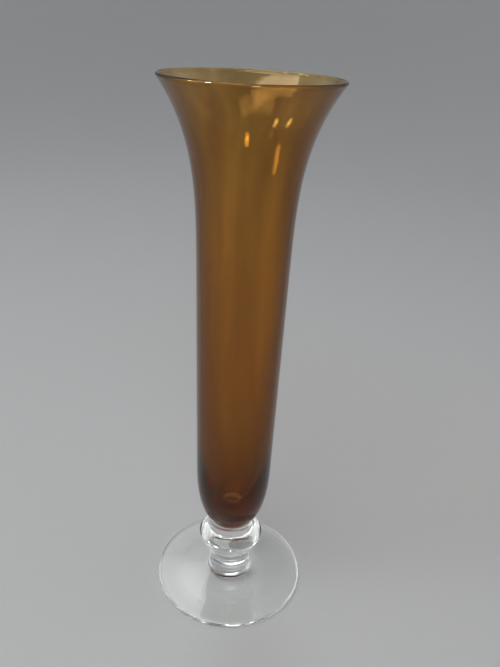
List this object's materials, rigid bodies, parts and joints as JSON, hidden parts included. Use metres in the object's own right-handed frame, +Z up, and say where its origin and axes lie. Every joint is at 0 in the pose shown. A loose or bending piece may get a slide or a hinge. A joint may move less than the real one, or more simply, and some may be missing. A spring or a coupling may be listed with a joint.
{
  "type": "glass bud vase",
  "caption": "Slender footed bud vase: an amber glass trumpet bowl with a flared mouth on a clear ring collar, a short clear stem and a thin clear disc foot.",
  "frame": {"origin": "centre of the foot, on the surface that the vase stands on", "axes": "+Z runs up the vase's axis from the foot to the mouth; the vase is round, so X and Y are alike"},
  "size_m": [0.062, 0.062, 0.204],
  "materials": {
    "amber_glass": "polished, transparent amber brown",
    "clear_glass": "polished, transparent and colourless"
  },
  "bodies": {
    "root": {"trumpet_bowl": "amber_glass", "collar": "clear_glass", "stem": "clear_glass", "disc_foot": "clear_glass"}
  },
  "joints": []
}
